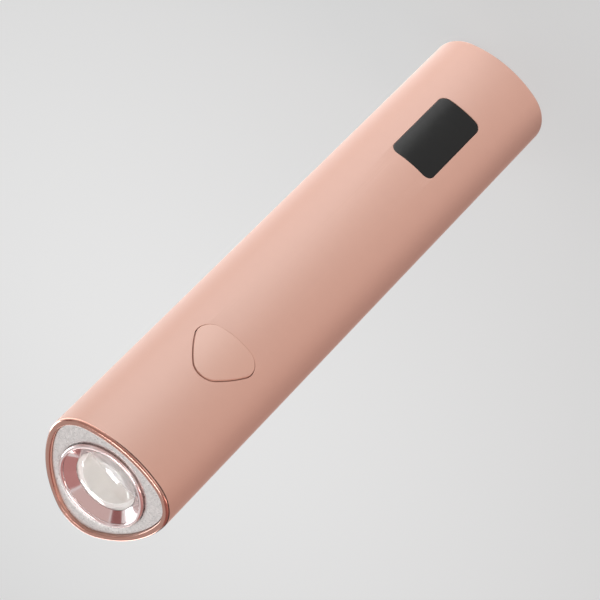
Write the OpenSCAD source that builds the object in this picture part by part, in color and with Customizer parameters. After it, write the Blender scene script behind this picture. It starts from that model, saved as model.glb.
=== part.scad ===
// Handheld nail lamp: a three-sided tube with a round lens in one end and a charging port in the other.
// It stands on its tail. +Z runs from the tail to the lens, and the side with the button faces -Y.
// Each cross-section is a triangle with three crowned sides and three round corners.

/* [Body] */
// Width across the two corners beside the button
body_w = 26; // [25.4:0.1:29]
// Length from the tail face to the front rim
body_l = 136; // [132:0.5:150]
// Radius of the three long corners
corner_r = 7.6; // [7:0.1:8.2]
// Half the angle that each crowned side turns through
side_turn = 22.2; // [18:0.1:24]
// Thickness of the moulded wall
wall_t = 1.8; // [1.6:0.1:2]
// Width of the rim round the front and the tail openings
rim_w = 1.2; // [1:0.05:1.4]
// Rounding of the front rim's outer edge
front_round = 0.6; // [0.3:0.05:0.7]
// Rounding of the front rim's inner edge
inner_round = 0.2; // [0.1:0.05:0.3]
// Rounding of the tail's outer edge
tail_round = 0.9; // [0.4:0.05:0.95]

/* [Front optics] */
// Depth of the front plate behind the rim
plate_recess = 0.6; // [0.5:0.05:0.9]
// Thickness of the front plate
plate_t = 1.2; // [1:0.1:1.6]
// Distance of the lens axis from the body's middle, away from the button
optic_drop = 0.6; // [0:0.1:0.8]
// Distance from the button side's crown to the raised chrome bead's radius
bead_margin = 3.03; // [3:0.01:3.2]
// Width of the bead
bead_w = 0.85; // [0.7:0.05:0.9]
// Height of the chrome bead above the front plate
bead_h = 0.44; // [0.3:0.02:0.5]
// How far the reflector's sleeve reaches out under the bead
sleeve_under = 0.3; // [0.2:0.05:0.4]
// Wall of the sleeve
sleeve_wall = 0.95; // [0.8:0.05:1.1]
// Width of the reflector's cone, from the bead to the lens
cone_w = 1.85; // [1.6:0.05:2.2]
// Depth of the reflector's cone
cone_h = 1.4; // [1.2:0.05:1.6]
// Thickness of the shelf that holds the lens
shelf_t = 0.5; // [0.4:0.05:0.7]
// Height of the lens dome
dome_h = 1.85; // [1.5:0.05:1.9]
// Thickness of the lens flange
lens_flange_t = 1; // [0.8:0.1:1.4]
// Thickness of the silicone ring behind the lens
gasket_t = 0.5; // [0.4:0.05:0.8]
// Length of the spacer between the silicone ring and the LED board
spacer_l = 3.2; // [2.8:0.1:4]

/* [Light source] */
// Side of the square LED package
led_w = 3.5; // [3:0.1:5]
// Thickness of the LED package
led_t = 0.8; // [0.6:0.1:1]
// Radius of the small dome on the LED
led_dome_r = 1.3; // [1:0.1:1.4]
// Thickness of the aluminium LED board
led_board_t = 1.6; // [1.2:0.1:2]
// Thickness of the thermal pad
pad_t = 0.3; // [0.2:0.05:0.5]
// Thickness of the heat sink's plate
sink_t = 3; // [2.5:0.1:4]
// Length of the heat sink's fins
fin_l = 7; // [5:0.5:8]
// Thickness of one fin
fin_t = 1; // [0.8:0.1:1.2]
// Distance from one fin to the next
fin_pitch = 2.4; // [2.2:0.1:2.6]

/* [Button] */
// Width of the button
key_w = 12.4; // [11:0.1:13]
// Radius of the button's corners
key_corner_r = 3.1; // [2.6:0.1:3.6]
// Half the angle that each of the button's sides turns through
key_turn = 8.2; // [6:0.1:12]
// Distance of the button's middle from the front rim
key_from_front = 30.4; // [29.5:0.1:34]
// Gap round the button
key_fit = 0.2; // [0.1:0.05:0.25]
// How far the button's face lies below the body's surface
key_recess = 0.1; // [0:0.02:0.2]
// How far the button can be pressed
key_travel = 0.35; // [0.25:0.05:0.4]
// Width of the hidden flange that keeps the button in
key_flange_w = 0.8; // [0.6:0.1:1]
// Thickness of the hidden flange
key_flange_t = 0.8; // [0.6:0.05:0.9]
// Length of the stem that reaches the switch
stem_l = 0.5; // [0.4:0.05:0.8]
// Radius of the stem
stem_r = 1.5; // [1.2:0.1:2]

/* [Switch] */
// Side of the square switch
switch_w = 4.5; // [4:0.1:5.2]
// Height of the switch with its cover
switch_h = 1.6; // [1.5:0.05:2]
// Thickness of the switch's metal cover
cover_t = 0.2; // [0.15:0.01:0.25]
// Radius of the switch's plunger
plunger_r = 1.1; // [0.9:0.05:1.3]
// How far the plunger stands out of the cover
plunger_h = 0.5; // [0.45:0.05:0.8]

/* [Display] */
// Width of the display window
window_w = 9.7; // [9:0.1:11]
// Length of the display window
window_l = 20.4; // [18:0.1:24]
// Corner radius of the display window
window_r = 1.7; // [1:0.1:2.4]
// Distance of the window's middle from the tail face
window_z = 28.4; // [26:0.1:30]
// Thickness of the window
window_t = 0.9; // [0.7:0.05:1]
// Thickness of the adhesive frame behind the window
tape_t = 0.2; // [0.1:0.05:0.25]
// Width of the ledge that the window is glued to
ledge_w = 0.9; // [0.7:0.1:1.1]
// Gap round the window
window_fit = 0.06; // [0.04:0.01:0.1]

/* [Tail] */
// Thickness of the tail cap's plate
cap_t = 1.6; // [1.4:0.1:2]
// Height of the tail cap's skirt
skirt_h = 4; // [3.5:0.1:5]
// Thickness of the tail cap's skirt
skirt_t = 1; // [0.8:0.05:1.1]
// Gap between the tail cap and the body
cap_fit = 0.1; // [0.06:0.01:0.15]
// Width of the charging socket
usb_w = 8.94; // [8.8:0.02:9.1]
// Height of the charging socket
usb_h = 3.26; // [3.1:0.02:3.4]
// Length of the charging socket
usb_l = 7.35; // [7:0.05:9]
// Wall of the charging socket
usb_wall = 0.3; // [0.2:0.02:0.35]
// How far the charging socket lies inside the tail face
usb_recess = 0.4; // [0.2:0.05:0.8]

/* [Power and board] */
// Distance of the cell's lower end from the tail face
cell_z = 41.5; // [41:0.1:43]
// Room between the cell's upper end and the button's middle
cell_clear = 15.6; // [15:0.1:18]
// Height of the keel under the cell
keel_h = 2.06; // [1.8:0.02:2.4]
// Width of the main board
board_w = 16.4; // [15.4:0.1:16.6]
// Thickness of the main board
board_t = 1; // [0.8:0.1:1.2]
// Gap between the chassis and the inside of the body
slide_fit = 0.2; // [0.1:0.05:0.3]
// Thickness of the chassis ribs
rib_t = 1.6; // [1.2:0.1:2]
// Depth of the chassis rails below the board
rail_h = 2.4; // [2:0.1:2.8]
// Radius of the small screws
screw_r = 0.8; // [0.7:0.05:0.9]

/* [Hidden] */
$fn = 96;

// Small distance that a cut reaches past what it cuts
over = 0.5;
// Depth under the wall that the cuts for the button and the window reach
reach = 3;
// Shared clearances: a loose gap, a close fit and the play before a contact closes
loose = 0.4;
close = 0.05;
play = 0.1;

// A rounded triangle as [corner radius, side radius, corner centre's distance, side centre's distance,
// half angle of a side]. One side faces -Y and one corner points along +Y.
function rounded_triangle(w, r_corner, turn) =
  let (half = w / 2 - r_corner, span = half / sin(turn), off = half / cos(30))
  [r_corner, r_corner + span, off, span * cos(turn) - off / 2, turn];

body = rounded_triangle(body_w, corner_r, side_turn);
key = rounded_triangle(key_w, key_corner_r, key_turn);
// Radius of the button side's curve, and where its axis lies
side_r = body[1];
side_y = body[3];
// Height of the button side's crown line, or of a surface inside it, at a distance x from the middle
function crown_y(inset, x = 0) = side_y - sqrt(pow(side_r - inset, 2) - x * x);

// A value or a list of them, to the nearest thousandth
function fine(v) = is_list(v) ? [for (c = v) fine(c)] : round(1000 * v) / 1000;

// Points of a quarter round on [inset, height] profiles
function quarter(x, z, r, from, to, steps = 5) =
  [for (i = [0:steps]) let (a = from + (to - from) * i / steps) fine([x + r * cos(a), z + r * sin(a)])];

// Stations along the body, from the front rim backwards
plate_z = body_l - plate_recess;
ledge_z = plate_z - plate_t;
shelf_z = plate_z - cone_h - shelf_t;
gasket_z = shelf_z - lens_flange_t - gasket_t;
led_z = gasket_z - spacer_l;
pad_z = led_z - led_board_t - pad_t;
sink_z = pad_z - sink_t;
fin_z = sink_z - fin_l;
key_z = body_l - key_from_front;

// Radii of the optics
bead_r = side_r - side_y - bead_margin;
mouth_r = bead_r - bead_w;
sleeve_r = mouth_r + sleeve_under;
sleeve_in = sleeve_r - sleeve_wall;
lens_r = mouth_r - cone_w;
led_inset = wall_t + 0.3;

// Two screws hold the LED board in the corners beside the button
led_screw_r = corner_r + body[2] - wall_t - 2.4;
led_screws_at = [for (a = [210, 330]) [led_screw_r * cos(a), led_screw_r * sin(a)]];
screw_head_r = 1.5;
screw_head_t = 0.8;
screw_l = 4;

// Levels from the button side inwards
flange_inset = wall_t + play;
stem_y = crown_y(flange_inset + key_flange_t) + stem_l;
plunger_y = stem_y + close;
cover_y = plunger_y + plunger_h;
board_y = cover_y + switch_h;
under_y = board_y + board_t;
board_z = cap_t + loose;
board_end = fin_z - loose;

// Wires that feed the LED
wire_r = 0.5;
wire_bend = 1;
wire_room = 1.6;
wire_x = 4.6;
wire_y = board_y - wire_bend - 0.3;

// Battery, chassis and screws under the board
foam_t = 0.4;
cell_gap = 0.6;
chassis_inset = wall_t + slide_fit;
keel_y = body[2] + corner_r - chassis_inset - keel_h;
cell_r = (keel_y - foam_t - under_y - cell_gap) / 2;
cell_y = keel_y - foam_t - cell_r;
cell_end = key_z - cell_clear;
cell_l = cell_end - cell_z;
nub_r = 2.75;
nub_h = 0.6;
tab_t = 0.15;
tab_w = 5;
tab_y = under_y + 1;
keel_w = 6;
bore_r = cell_r + 0.15;
chassis_z = cap_t + skirt_h + loose;
open_x = board_w / 2 - 1.2;
open_y = under_y + 2.6;
boss_r = 1.8;
boss_x = 5.5;
boss_gap = 4.5;
bosses = [[-boss_x, chassis_z + boss_gap], [boss_x, cell_end + boss_gap + 2]];
prong_x = 2.5 * fin_pitch;
prong_w = fin_pitch - fin_t - 0.2;
prong_l = 4;
rib_inset = 3;
cell_ribs = [for (i = [0:3]) cell_z + rib_inset + (cell_l - 2 * rib_inset - rib_t) * i / 3];

// Places and sizes of the parts under the board
chip_w = 3.9;
chip_l = 4.9;
chip_h = 1.5;
charger_z = board_z + 16;
controller_z = charger_z + 7.6;
inductor_w = 5;
inductor_h = 2.8;
inductor_x = 3;
driver_drop = 3;
small_x = 5.2;
small_gap = 4;
small_step = 1.6;
cap_w = 1.1;

// Charging socket and cap snaps
usb_y = under_y + usb_h / 2;
snap_z = cap_t + 2;
snap_h = 0.8;
snap_d = 0.35;
snap_a = 9;

// Display module
pocket_d = window_t + tape_t;
module_w = window_w - 2 * ledge_w - 0.5;
module_l = window_l - 2 * ledge_w - 0.6;
module_y = crown_y(window_t, module_w / 2) + play;
pin_pitch = 2;
pin_r = 0.25;
pin_count = 5;
pin_inset = 0.5;

// Moves by v in a rounded step and a very small one, so that no digit of v is lost
module place(v) {
  translate(fine(v)) translate(v - fine(v)) children();
}

// One arc of a ring: the [inset, height] points swung round the centre c at the radius r
module arc(c, r, start, turn, points) {
  place([c.x, c.y, 0]) rotate_extrude(angle = turn, start = start % 360)
    place([r, 0]) polygon(points);
}

// Ring whose cross-section is the polygon of [inset, height] points, bent round the rounded triangle
module tri_ring(t, points) {
  inwards = [for (p = points) [-p.x, p.y]];
  for (k = [0:120:240]) {
    arc(t[3] * [-sin(k), cos(k)], t[1], 270 - t[4] + k, 2 * t[4], inwards);
    arc(t[2] * [cos(330 + k), sin(330 + k)], t[0], 270 + t[4] + k, 120 - 2 * t[4], inwards);
  }
}

// Solid rounded triangle whose edge follows the [inset, height] points from the bottom to the top: a wide
// ring, and a plain triangle that fills its middle
module tri_solid(t, points) {
  low = points[0].y;
  high = points[len(points) - 1].y;
  ring_w = t[0] - 0.3;
  tri_ring(t, concat([[ring_w, low]], points, [[ring_w, high]]));
  translate([0, 0, low]) linear_extrude(high - low)
    polygon([for (a = [90, 210, 330]) (t[2] + t[0] / 2) * [cos(a), sin(a)]]);
}

// Plate of the body's outline, drawn in by inset, from z0 to z1
module body_plate(inset, z0, z1) {
  tri_solid(body, [[inset, z0], [inset, z1]]);
}

// Everything inside a curved surface that runs parallel to the button side
module inside_side(inset) {
  translate([0, side_y, 0]) cylinder(h = body_l, r = side_r - inset);
}

// Curved layer between two such surfaces
module side_slab(outer, inner) {
  difference() {
    inside_side(outer);
    inside_side(inner);
  }
}

// Prism of the button's outline, grown by grow, from the level y0 out through the button side
module key_prism(grow, y0) {
  translate([0, y0, key_z]) rotate([90, 0, 0])
    tri_solid(key, [[-grow, 0], [-grow, y0 - crown_y(0) + over]]);
}

// Flat rectangle with round corners
module rounded_flat(w, l, r) {
  square([w - 2 * r, l], center = true);
  square([w, l - 2 * r], center = true);
  for (x = [-1, 1]) for (y = [-1, 1]) translate([x * (w / 2 - r), y * (l / 2 - r)]) circle(r);
}

// Prism of the window's outline, grown by grow, from the level y0 out through the button side
module window_prism(grow, y0) {
  translate([0, y0, window_z]) rotate([90, 0, 0]) linear_extrude(y0 - crown_y(0) + over)
    rounded_flat(window_w + 2 * grow, window_l + 2 * grow, max(window_r + grow, 0.3));
}

// Slot with round ends, w by h, centred on the charging socket, from z0 to z1
module usb_slot(w, h, z0, z1) {
  translate([0, usb_y, z0]) linear_extrude(z1 - z0) {
    square([w - h, h], center = true);
    for (x = [-1, 1]) translate([x * (w - h) / 2, 0]) circle(h / 2);
  }
}

// Short curved bars on the two sides away from the button, where the tail cap snaps in
module snap_bars(r0, r1, z0, z1, half) {
  for (k = [1, 2]) rotate([0, 0, 120 * k]) translate([0, side_y, 0])
    rotate_extrude(angle = 2 * half, start = 270 - half)
      translate([r0, z0]) square([r1 - r0, z1 - z0]);
}

// Disc or ring on the lens axis
module optic_ring(r_out, r_in, z0, z1) {
  translate([0, optic_drop, z0]) difference() {
    cylinder(h = z1 - z0, r = r_out);
    if (r_in > 0) translate([0, 0, -over]) cylinder(h = z1 - z0 + 2 * over, r = r_in);
  }
}

// Bar with its own low and high corners
module bar(low, high) {
  translate(low) cube(high - low);
}

// Round wire through the points p, with eight sides. Each ring stands square to the way along the wire
function unit(v) = v / norm(v);
function heading(p, i) = unit(p[min(i + 1, len(p) - 1)] - p[max(i - 1, 0)]);
module wire(p, r) {
  sides = 8;
  rings = [for (i = [0:len(p) - 1])
    let (d = heading(p, i), u = unit(cross(d, [0.31, 0.95, 0.05])), v = cross(d, u))
    for (k = [0:sides - 1]) p[i] + r * (cos(360 * k / sides) * u + sin(360 * k / sides) * v)];
  last = (len(p) - 1) * sides;
  skin = [for (i = [0:len(p) - 2]) for (k = [0:sides - 1])
    let (a = i * sides + k, b = i * sides + (k + 1) % sides)
    each [[a, b, a + sides], [b, b + sides, a + sides]]];
  ends = [for (k = [1:sides - 2]) each [[0, k + 1, k], [last, last + k, last + k + 1]]];
  polyhedron(points = rings, faces = concat(skin, ends));
}

module body_shell() {
  profile = concat(
    quarter(tail_round, tail_round, tail_round, 270, 180),
    quarter(front_round, body_l - front_round, front_round, 180, 90),
    quarter(rim_w - inner_round, body_l - inner_round, inner_round, 90, 0, 3),
    [[rim_w, ledge_z], [wall_t, ledge_z], [wall_t, cap_t], [rim_w, cap_t], [rim_w, 0]]);
  color("#D9AE9F") difference() {
    tri_ring(body, profile);
    key_prism(key_fit, crown_y(wall_t) + reach);
    window_prism(-ledge_w, crown_y(wall_t) + reach);
    difference() {
      window_prism(window_fit, crown_y(wall_t) + reach);
      inside_side(pocket_d);
    }
    snap_bars(side_r - wall_t - close, side_r - wall_t + snap_d, snap_z, snap_z + snap_h, snap_a);
  }
}

module tail_cap() {
  edge = rim_w + cap_fit;
  skirt = wall_t + cap_fit;
  color("#D0A496") difference() {
    union() {
      tri_solid(body, [[edge + 0.2, 0], [edge, 0.2], [edge, cap_t]]);
      tri_ring(body, [[skirt, cap_t], [skirt, cap_t + skirt_h],
        [skirt + skirt_t, cap_t + skirt_h], [skirt + skirt_t, cap_t]]);
      snap_bars(side_r - skirt - skirt_t / 2, side_r - wall_t + snap_d - play,
        snap_z + play, snap_z + snap_h - play, snap_a - 1);
    }
    usb_slot(usb_w + 2 * cap_fit + 0.16, usb_h + 2 * cap_fit + 0.16, -over, cap_t + over);
  }
}

module front_plate() {
  color("#C9C5C4") difference() {
    body_plate(rim_w + play, ledge_z, plate_z);
    optic_ring(sleeve_r + close, 0, ledge_z - over, plate_z + over);
  }
}

// The bead is half an oval between the mouth and the bead's outer edge
module reflector() {
  bead = [for (i = [0:10]) let (a = 18 * i)
    [mouth_r + bead_w / 2 * (1 + cos(a)), bead_h * sin(a)]];
  cone_r = lens_r + play;
  color("#D8C0C2") translate([0, optic_drop, plate_z]) rotate_extrude()
    polygon(concat([[sleeve_r, 0]], bead, [
      [cone_r, -cone_h], [cone_r, -cone_h - shelf_t], [sleeve_in, -cone_h - shelf_t],
      [sleeve_in, led_z - plate_z + close], [sleeve_r, led_z - plate_z + close]]));
}

module lens() {
  globe_r = (lens_r * lens_r + dome_h * dome_h) / (2 * dome_h);
  color("#E4E6E6", 0.5) translate([0, optic_drop, 0]) rotate_extrude() {
    translate([0, shelf_z - lens_flange_t]) square([sleeve_in - play, lens_flange_t]);
    translate([0, shelf_z - over / 2]) square([lens_r, shelf_t + over / 2]);
    intersection() {
      translate([0, plate_z - cone_h + dome_h - globe_r]) circle(globe_r);
      translate([0, plate_z - cone_h]) square([lens_r, dome_h]);
    }
  }
}

module lens_gasket() {
  color("#E8E8E6") optic_ring(sleeve_in - play, lens_r - 0.2, gasket_z, gasket_z + gasket_t);
}

module lens_spacer() {
  color("#F0F0EE") optic_ring(sleeve_in - play, lens_r - cone_w + 0.3, led_z, gasket_z);
}

module led_emitter() {
  color("#E9DFB8") translate([0, optic_drop, led_z]) {
    translate([0, 0, led_t / 2]) cube([led_w, led_w, led_t], center = true);
    translate([0, 0, led_t]) intersection() {
      sphere(led_dome_r);
      cylinder(h = led_dome_r + over, r = led_dome_r + over);
    }
  }
}

// Screw with a flat head on z = 0 and its shank below
module pan_screw() {
  difference() {
    cylinder(h = screw_head_t, r = screw_head_r);
    for (a = [0, 90]) rotate([0, 0, a]) translate([0, 0, screw_head_t])
      cube([screw_head_r * 1.2, 0.35, 0.6], center = true);
  }
  translate([0, 0, -screw_l]) cylinder(h = screw_l + close, r = screw_r);
}

module led_holes(r, z0, z1) {
  for (p = led_screws_at) translate([p.x, p.y, z0]) cylinder(h = z1 - z0, r = r);
  for (x = [-1, 1]) translate([x * wire_x, wire_y, z0]) cylinder(h = z1 - z0, r = wire_r + 0.25);
}

module led_board() {
  color("#E6E6E2") difference() {
    body_plate(led_inset, led_z - led_board_t, led_z);
    led_holes(screw_r + play, led_z - led_board_t - over, led_z + over);
  }
}

module led_screws() {
  color("#B8B8BC") for (p = led_screws_at) translate([p.x, p.y, led_z]) pan_screw();
}

module thermal_pad() {
  color("#8FA0B4") optic_ring(sleeve_r, 0, pad_z, pad_z + pad_t);
}

module heat_sink() {
  color("#B4B7BA") difference() {
    union() {
      body_plate(led_inset, sink_z, pad_z);
      intersection() {
        body_plate(led_inset, fin_z, sink_z);
        for (i = [-3:3]) bar([i * fin_pitch - fin_t / 2, wire_y + wire_room, fin_z],
          [i * fin_pitch + fin_t / 2, body_w, sink_z + over]);
      }
    }
    led_holes(screw_r + 0.02, sink_z - over, pad_z + over);
  }
}

// The two wires leave the board upwards, bend forward and run through the heat sink to the LED board
module led_wires() {
  foot = wire_y + wire_bend;
  color("#B03A34") for (x = [-1, 1]) translate([x * wire_x, 0, board_end - 1.2]) {
    translate([0, foot, 0]) rotate([-90, 0, 0]) cylinder(h = board_y - foot, r = wire_r);
    translate([0, foot, wire_bend]) rotate([0, -90, 0]) rotate_extrude(angle = 90, start = 180)
      translate([wire_bend, 0]) circle(wire_r);
    translate([0, wire_y, wire_bend]) cylinder(h = led_z - board_end + 1.2 - wire_bend + 0.2, r = wire_r);
  }
}

module button_cap() {
  low = crown_y(wall_t) + reach;
  color("#DBB0A2") {
    intersection() {
      key_prism(0, low);
      side_slab(key_recess, flange_inset + key_flange_t / 2);
    }
    intersection() {
      key_prism(key_flange_w, low);
      side_slab(flange_inset, flange_inset + key_flange_t);
    }
    translate([0, stem_y, key_z]) rotate([90, 0, 0]) cylinder(h = stem_l + 0.3, r = stem_r);
  }
}

module switch_plunger() {
  color("#2E2E30") translate([0, 0, key_z]) rotate([90, 0, 0]) {
    translate([0, 0, -cover_y - cover_t]) cylinder(h = plunger_h + cover_t, r = plunger_r);
    translate([0, 0, -cover_y - cover_t - 0.35]) cylinder(h = 0.33, r = plunger_r + 0.5);
    translate([0, 0, -cover_y - cover_t - 0.1]) cylinder(h = 0.2, r = plunger_r);
  }
}

module switch_cover() {
  half = switch_w / 2;
  color("#C8C8CA") difference() {
    union() {
      bar([-half, cover_y, key_z - half], [half, cover_y + cover_t, key_z + half]);
      for (s = [-1, 1]) translate([0, 0, key_z + s * (half + cover_t / 2)])
        bar([-half / 2, cover_y, -cover_t / 2 - close], [half / 2, cover_y + switch_h / 2, cover_t / 2]);
    }
    translate([0, cover_y + cover_t + over, key_z]) rotate([90, 0, 0])
      cylinder(h = cover_t + 2 * over, r = plunger_r + 0.2);
    bar([-half - over, cover_y + cover_t, key_z - half], [half + over, board_y, key_z + half]);
  }
}

module tact_switch() {
  half = switch_w / 2;
  color("#3A3A3C") difference() {
    bar([-half, cover_y + cover_t, key_z - half], [half, board_y, key_z + half]);
    translate([0, cover_y + cover_t + 0.35 + key_travel + play, key_z]) rotate([90, 0, 0])
      cylinder(h = switch_h, r = plunger_r + 0.7);
  }
}

module display_window() {
  color("#303032") intersection() {
    window_prism(0, crown_y(wall_t) + reach);
    side_slab(0.02, window_t);
  }
}

module window_tape() {
  color("#1C1C1E") difference() {
    intersection() {
      window_prism(0, crown_y(wall_t) + reach);
      side_slab(window_t, pocket_d);
    }
    window_prism(-ledge_w, crown_y(wall_t) + reach);
  }
}

// One digit of seven light wells, centred on the origin in its own plane, and h tall
module digit_wells(h) {
  s = h / 2;
  w = 0.7;
  l = s - w - 0.3;
  for (z = [-1, 0, 1]) translate([0, z * s, 0]) cube([l, w, 2], center = true);
  for (x = [-1, 1]) for (z = [-1, 1]) translate([x * s / 2, z * s / 2, 0]) cube([w, l, 2], center = true);
}

module display_module() {
  color("#E9E9E6") difference() {
    bar([-module_w / 2, module_y, window_z - module_l / 2], [module_w / 2, board_y, window_z + module_l / 2]);
    for (z = [-1, 1]) translate([0, module_y, window_z + z * module_l / 4]) rotate([90, 0, 0])
      digit_wells(module_l * 0.32);
  }
}

module pins_at() {
  for (i = [0:pin_count - 1]) for (x = [-1, 1])
    translate([x * (module_w / 2 - pin_inset), 0, window_z + (i - (pin_count - 1) / 2) * pin_pitch])
      children();
}

module display_pins() {
  color("#C9B27A") pins_at() translate([0, under_y + 0.8, 0]) rotate([90, 0, 0])
    cylinder(h = board_t + 0.8, r = pin_r);
}

module main_board() {
  color("#2F6B4A") difference() {
    bar([-board_w / 2, board_y, board_z], [board_w / 2, under_y, board_end]);
    pins_at() translate([0, under_y + over, 0]) rotate([90, 0, 0])
      cylinder(h = board_t + 2 * over, r = pin_r + 0.15);
    for (b = bosses) translate([b.x, under_y + over, b.y]) rotate([90, 0, 0])
      cylinder(h = board_t + 2 * over, r = screw_r + play);
  }
}

module board_screws() {
  color("#B8B8BC") for (b = bosses) translate([b.x, board_y, b.y]) rotate([90, 0, 0]) pan_screw();
}

// An open sled: two rails under the board, ribs round the cell, a keel in the lower corner, and two
// prongs that enter the gaps between the heat sink's fins
module chassis() {
  rail_x = open_x + 0.2;
  end_ribs = [bosses[0].y - rib_t / 2, bosses[1].y - rib_t / 2, board_end - rib_t];
  ribs = concat(end_ribs, cell_ribs, [cell_z - rib_t - loose, cell_end + nub_h + 1.4]);
  color("#3C3C40") difference() {
    union() {
      intersection() {
        body_plate(chassis_inset, chassis_z, board_end);
        union() {
          for (s = [-1, 1]) {
            bar([min(s * rail_x, s * body_w), under_y, chassis_z],
              [max(s * rail_x, s * body_w), under_y + rail_h, board_end]);
            bar([min(s * (board_w / 2 + play), s * body_w), board_y, chassis_z],
              [max(s * (board_w / 2 + play), s * body_w), under_y + close, board_end]);
          }
          for (z = ribs) difference() {
            bar([-body_w, under_y, z], [body_w, body_w, z + rib_t]);
            bar([-open_x, under_y - over, z - over], [open_x, open_y, z + rib_t + over]);
          }
          bar([-keel_w / 2, keel_y, chassis_z], [keel_w / 2, body_w, board_end]);
        }
      }
      for (b = bosses) translate([b.x, under_y + screw_l, b.y]) rotate([90, 0, 0])
        cylinder(h = screw_l, r = boss_r);
      for (s = [-1, 1]) bar([s * prong_x - prong_w / 2, -2, board_end - rib_t],
        [s * prong_x + prong_w / 2, 5, fin_z + prong_l]);
    }
    translate([0, cell_y, cell_z - loose / 2]) cylinder(h = cell_l + nub_h + 1.4, r = bore_r);
    for (z = end_ribs) translate([0, cell_y, z - over]) cylinder(h = rib_t + 2 * over, r = 5);
    for (b = bosses) translate([b.x, under_y + screw_l + over, b.y]) rotate([90, 0, 0])
      cylinder(h = screw_l + 2 * over, r = screw_r + 0.02);
  }
}

module usb_shell() {
  color("#C4C6C8") difference() {
    usb_slot(usb_w, usb_h, usb_recess, usb_recess + usb_l);
    usb_slot(usb_w - 2 * usb_wall, usb_h - 2 * usb_wall, usb_recess - over, usb_recess + usb_l - 0.3);
  }
}

module usb_tongue() {
  back = usb_recess + usb_l - 0.3;
  color("#222224") {
    usb_slot(usb_w - 2 * usb_wall - play, usb_h - 2 * usb_wall - play, back - 1.8, back);
    bar([-3.35, usb_y - 0.35, usb_recess + 0.9], [3.35, usb_y + 0.35, back - 1]);
  }
}

// Chip on the underside of the board, w across and l along the body, with legs on both long sides
module chip(x, z, w, l, h, legs) {
  translate([x, under_y, z]) {
    bar([-w / 2, 0.1, -l / 2], [w / 2, h, l / 2]);
    for (i = [0:legs - 1]) translate([0, 0, (i - (legs - 1) / 2) * l / legs])
      bar([-w / 2 - 0.9, 0, -0.2], [w / 2 + 0.9, 0.3, 0.2]);
  }
}

module charger_chip() {
  color("#26262A") chip(0, charger_z, chip_w, chip_l, chip_h, 4);
}

module controller_chip() {
  color("#2A2A2E") chip(0, controller_z, chip_w, chip_l + 1.2, chip_h, 5);
}

module driver_chip() {
  color("#26262A") chip(-inductor_x, key_z - driver_drop, chip_w / 2 - 0.3, chip_l - 2, chip_h - 0.4, 3);
}

module driver_inductor() {
  color("#4A4A4C") translate([inductor_x, under_y, key_z]) rotate([-90, 0, 0]) difference() {
    translate([0, 0, inductor_h / 2]) cube([inductor_w, inductor_w, inductor_h], center = true);
    for (a = [45:90:315]) rotate([0, 0, a]) translate([0.72 * inductor_w, 0, inductor_h / 2])
      cube([1, inductor_w / 2, inductor_h + over], center = true);
  }
}

module capacitors() {
  places = [[-small_x, charger_z + small_gap], [small_x, charger_z + small_gap],
    [-small_x, key_z + small_gap / 2], [-small_x, key_z - 2 * small_gap]];
  color("#B59A72") for (p = places)
    bar([p.x - cap_w / 2, under_y, p.y - cap_w], [p.x + cap_w / 2, under_y + cap_w, p.y + cap_w]);
}

module resistors() {
  color("#1E1E20") for (x = [-small_x, small_x]) for (i = [1:3])
    translate([x, under_y, controller_z + small_step * i])
      bar([-small_step / 2, 0, 0], [small_step / 2, small_step / 4, small_step / 2]);
}

// Two-way wire connector: the socket is soldered to the board and the plug slides in from the cell's side
socket_w = 7.4;
socket_h = 4.2;
socket_l = 4.2;
plug_room = 2.2;
socket_z = cell_z - rib_t - loose - socket_l - plug_room;

module battery_socket() {
  color("#EDEAE0") difference() {
    bar([-socket_w / 2, under_y, socket_z], [socket_w / 2, under_y + socket_h, socket_z + socket_l]);
    bar([-socket_w / 2 + 0.6, under_y + 0.6, socket_z + 1],
      [socket_w / 2 - 0.6, under_y + socket_h - 0.6, socket_z + socket_l + over]);
  }
}

module battery_plug() {
  color("#F4F2EA") bar([-socket_w / 2 + 0.7, under_y + 0.7, socket_z + 1.05],
    [socket_w / 2 - 0.7, under_y + socket_h - 0.7, socket_z + socket_l + 1]);
}

// The red lead comes back along the cell from its far end, and the black one from its near end
module battery_wires() {
  near = socket_z + socket_l + 1;
  level = under_y + socket_h / 2;
  side = open_x - 1;
  top = under_y + 0.9;
  color("#B03A34") {
    wire([[1.6, level, near], [1.6, level, near + 0.8], [2.4, level - 0.6, near + 1.8],
      [4, top + 0.2, near + 2.8], [side - 0.6, top, near + 4.2], [side, top, near + 6],
      [side, top, cell_end - 3], [side - 0.4, top, cell_end - 1], [4.4, top, cell_end + 0.2],
      [tab_w / 2 - 0.2, top, cell_end + 0.3]], wire_r);
    wire([[-1.6, level, near], [-1.6, level, near + 0.6], [-1.6, level - 0.5, near + 1.4],
      [-1.6, top + 0.4, near + 2], [-1.6, top + 0.1, cell_z - 0.7]], wire_r);
  }
}

module battery_cell() {
  color("#5C7FA8") translate([0, cell_y, cell_z]) {
    rotate_extrude() polygon(concat([[0, 0]],
      [for (i = [0:4]) [cell_r - 0.6 + 0.6 * sin(22.5 * i), 0.6 - 0.6 * cos(22.5 * i)]],
      [[cell_r, cell_l - 4], [cell_r - 0.4, cell_l - 3.6], [cell_r - 0.4, cell_l - 3], [cell_r, cell_l - 2.6],
        [cell_r, cell_l - 0.5], [cell_r - 0.5, cell_l], [0, cell_l]]));
    cylinder(h = cell_l + nub_h, r = nub_r);
  }
}

module cell_insulator() {
  color("#E7E3D2") translate([0, cell_y, cell_end]) difference() {
    cylinder(h = 0.2, r = cell_r - 0.6);
    translate([0, 0, -over]) cylinder(h = 1 + over, r = nub_r + 0.2);
  }
}

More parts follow.
